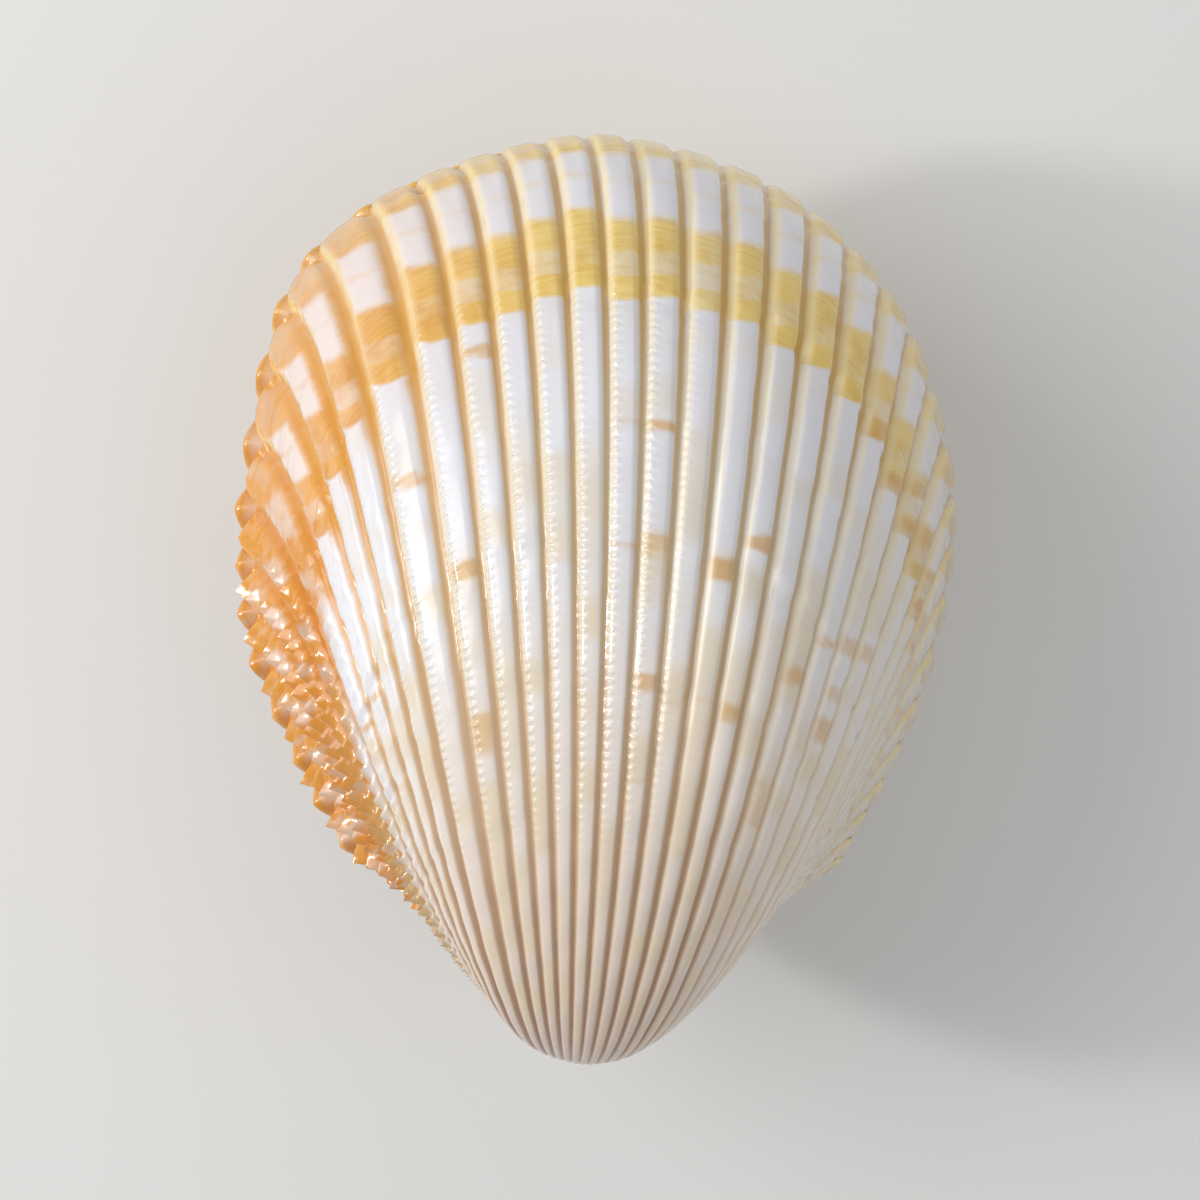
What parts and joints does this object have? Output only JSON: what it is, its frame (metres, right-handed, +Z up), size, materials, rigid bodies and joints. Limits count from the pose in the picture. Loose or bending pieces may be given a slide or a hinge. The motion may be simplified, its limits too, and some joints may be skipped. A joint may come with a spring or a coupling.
{
  "type": "cockle shell",
  "caption": "Closed cockle shell with rounded radial ribs, spines on its hind flank and a locking toothed rim; an ornament.",
  "frame": {"origin": "middle of the footprint, on the surface that the shell lies on", "axes": "+Y from the beaks to the far margin, +X to the front end of the animal, +Z up, out of the left valve"},
  "size_m": [0.0474, 0.0598, 0.0431],
  "materials": {
    "shell": "glossy cream and orange shell",
    "ligament": "dark brown, horny"
  },
  "bodies": {
    "root": {"left_valve": "shell", "right_valve": "shell", "ligament": "ligament"}
  },
  "joints": []
}
